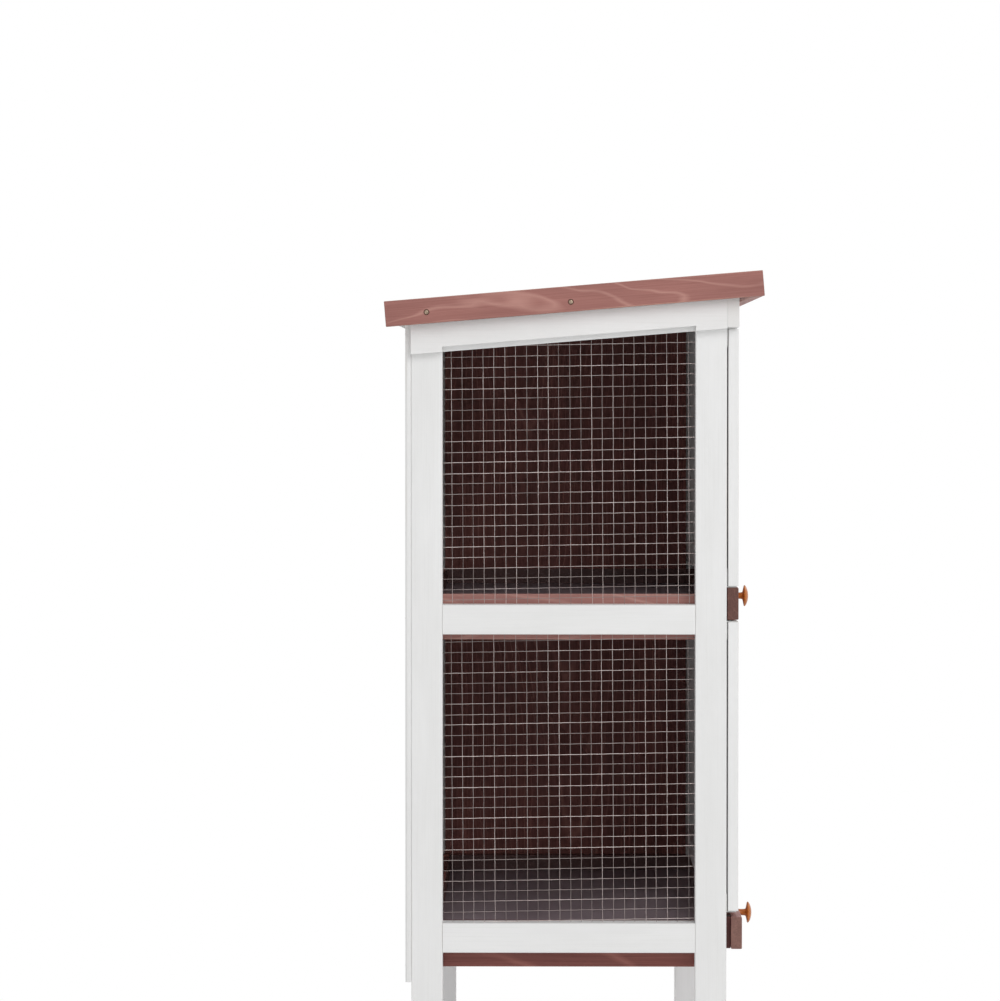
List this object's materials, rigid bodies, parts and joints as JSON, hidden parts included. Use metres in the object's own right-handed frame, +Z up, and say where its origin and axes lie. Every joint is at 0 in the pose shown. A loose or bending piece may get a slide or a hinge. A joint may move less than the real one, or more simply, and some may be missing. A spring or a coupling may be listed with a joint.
{
  "type": "outdoor rabbit cage",
  "caption": "Two-storey wooden rabbit hutch on legs with wire mesh side, sloping hinged lid, front doors with turn buttons and slide-out trays with round knobs.",
  "frame": {"origin": "on the ground, under the middle of the cage's bounding box", "axes": "+Z up, +X to the right seen from the front, -Y out of the doors and trays"},
  "size_m": [0.9, 0.447, 1.1],
  "materials": {
    "white_wood": "white painted",
    "brown_wood": "brown stained",
    "wire": "galvanised",
    "hinge_metal": "zinc plated",
    "screw_steel": "zinc plated",
    "knob_wood": "honey lacquer",
    "tray_sheet": "grey-brown coated sheet",
    "roof_felt": "mineral surface"
  },
  "bodies": {
    "cage": {"left_front_leg": "white_wood", "left_rear_leg": "white_wood", "left_middle_rail": "white_wood", "left_bottom_rail": "white_wood", "left_top_rail": "white_wood", "right_front_leg": "white_wood", "right_rear_leg": "white_wood", "right_middle_rail": "white_wood", "right_bottom_rail": "white_wood", "right_top_rail": "white_wood", "left_upper_mesh": "wire", "left_lower_mesh": "wire", "right_upper_panel": "brown_wood", "right_lower_panel": "brown_wood", "back_boards": "white_wood", "rear_bottom_rail": "white_wood", "rear_middle_rail": "white_wood", "rear_top_rail": "white_wood", "upper_door_sill": "white_wood", "front_middle_rail": "white_wood", "lower_door_sill": "white_wood", "front_bottom_rail": "white_wood", "front_top_rail": "white_wood", "upper_center_post": "white_wood", "lower_center_post": "white_wood", "upper_tray_runners": "brown_wood", "lower_tray_runners": "brown_wood", "lower_tray_stops": "brown_wood", "door_pivot_brackets": "hinge_metal", "turn_button_screws": "screw_steel", "lid_hinge_wall_leaves": "hinge_metal"},
    "lid": {"lid_left_beam": "brown_wood", "lid_right_beam": "brown_wood", "lid_front_beam": "brown_wood", "lid_panel": "white_wood", "lid_felt": "roof_felt", "lid_hinge_panel_leaves": "hinge_metal"},
    "upper_tray": {"upper_tray_front": "brown_wood", "upper_tray_walls": "tray_sheet", "upper_tray_floor": "tray_sheet", "upper_tray_knobs": "knob_wood"},
    "lower_tray": {"lower_tray_front": "brown_wood", "lower_tray_walls": "tray_sheet", "lower_tray_floor": "tray_sheet", "lower_tray_knobs": "knob_wood"},
    "upper_left_door": {"upper_left_door_frame": "white_wood", "upper_left_door_mesh": "wire"},
    "upper_right_door": {"upper_right_door_frame": "white_wood", "upper_right_door_panel": "brown_wood"},
    "lower_left_door": {"lower_left_door_frame": "white_wood", "lower_left_door_mesh": "wire"},
    "lower_right_door": {"lower_right_door_frame": "white_wood", "lower_right_door_panel": "brown_wood"},
    "upper_turn_button": {"upper_turn_button": "brown_wood"},
    "lower_turn_button": {"lower_turn_button": "brown_wood"}
  },
  "joints": [
    {"name": "lid_hinge", "type": "hinge", "parent": "cage", "child": "lid", "pos_m": [0, 0.20398, 1.03747], "axis": [-1, 0, 0], "range_deg": [0, 108]},
    {"name": "upper_left_door_hinge", "type": "hinge", "parent": "cage", "child": "upper_left_door", "pos_m": [-0.4154, -0.18827, 0.87962], "axis": [0, 0, -1], "range_deg": [0, 110]},
    {"name": "upper_right_door_hinge", "type": "hinge", "parent": "cage", "child": "upper_right_door", "pos_m": [0.4154, -0.18827, 0.87962], "axis": [0, 0, 1], "range_deg": [0, 110]},
    {"name": "lower_left_door_hinge", "type": "hinge", "parent": "cage", "child": "lower_left_door", "pos_m": [-0.4154, -0.18827, 0.51425], "axis": [0, 0, -1], "range_deg": [0, 110]},
    {"name": "lower_right_door_hinge", "type": "hinge", "parent": "cage", "child": "lower_right_door", "pos_m": [0.4154, -0.18827, 0.51425], "axis": [0, 0, 1], "range_deg": [0, 110]},
    {"name": "upper_tray_slide", "type": "slide", "parent": "cage", "child": "upper_tray", "axis": [0, -1, 0], "range_m": [0, 0.3]},
    {"name": "lower_tray_slide", "type": "slide", "parent": "cage", "child": "lower_tray", "axis": [0, -1, 0], "range_m": [0, 0.3]},
    {"name": "upper_turn_button_pivot", "type": "hinge", "parent": "cage", "child": "upper_turn_button", "pos_m": [0, -0.19452, 0.87962], "axis": [0, -1, 0], "continuous": true},
    {"name": "lower_turn_button_pivot", "type": "hinge", "parent": "cage", "child": "lower_turn_button", "pos_m": [0, -0.19452, 0.51425], "axis": [0, -1, 0], "continuous": true}
  ]
}
